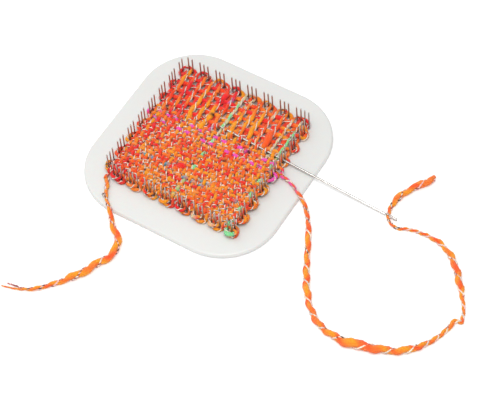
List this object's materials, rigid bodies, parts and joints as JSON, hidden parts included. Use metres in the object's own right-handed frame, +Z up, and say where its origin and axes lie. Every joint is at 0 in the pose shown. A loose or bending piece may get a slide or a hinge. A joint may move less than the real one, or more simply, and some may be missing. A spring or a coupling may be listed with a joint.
{
  "type": "pin loom",
  "caption": "Small hand pin loom: rounded square board with rows of steel pins, a half-woven yarn square on them, and a long eyed needle carrying the working yarn.",
  "frame": {"origin": "centre of the board's underside, on the table", "axes": "+Z up out of the board along the pins, +Y from the near pin row to the far one, +X from the left pin row to the right one, where the needle enters"},
  "size_m": [0.2798, 0.2277, 0.022],
  "materials": {
    "board": "satin moulded plastic with softly rounded edges",
    "pins": "drawn steel wire, blunt tips",
    "needle": "polished nickel-plated steel",
    "cloth": "plain weave of thick-and-thin multicolour yarn",
    "warp": "open layers of the same yarn, not yet woven",
    "yarn": "thick-and-thin orange single plied with a thin metallic thread"
  },
  "bodies": {
    "loom": {"base_board": "board", "pins_near_1": "pins", "pins_near_2": "pins", "pins_near_3": "pins", "pins_near_4": "pins", "pins_near_5": "pins", "pins_near_6": "pins", "pins_near_7": "pins", "pins_near_8": "pins", "pins_far_1": "pins", "pins_far_2": "pins", "pins_far_3": "pins", "pins_far_4": "pins", "pins_far_5": "pins", "pins_far_6": "pins", "pins_far_7": "pins", "pins_far_8": "pins", "pins_left_1": "pins", "pins_left_2": "pins", "pins_left_3": "pins", "pins_left_4": "pins", "pins_left_5": "pins", "pins_left_6": "pins", "pins_left_7": "pins", "pins_left_8": "pins", "pins_right_1": "pins", "pins_right_2": "pins", "pins_right_3": "pins", "pins_right_4": "pins", "pins_right_5": "pins", "pins_right_6": "pins", "pins_right_7": "pins", "pins_right_8": "pins"},
    "weaving": {"woven_cloth": "cloth", "open_warp": "warp", "start_tail": "yarn", "working_yarn": "yarn"},
    "needle": {"weaving_needle": "needle", "yarn_free_end": "yarn"}
  },
  "joints": [
    {"name": "cloth_lift_off", "type": "slide", "parent": "loom", "child": "weaving", "axis": [0, 0, 1], "range_m": [0, 0.022]},
    {"name": "needle_through_row", "type": "slide", "parent": "weaving", "child": "needle", "axis": [-0.9974, 0.0127, 0.0713], "range_m": [0, 0.04]}
  ]
}
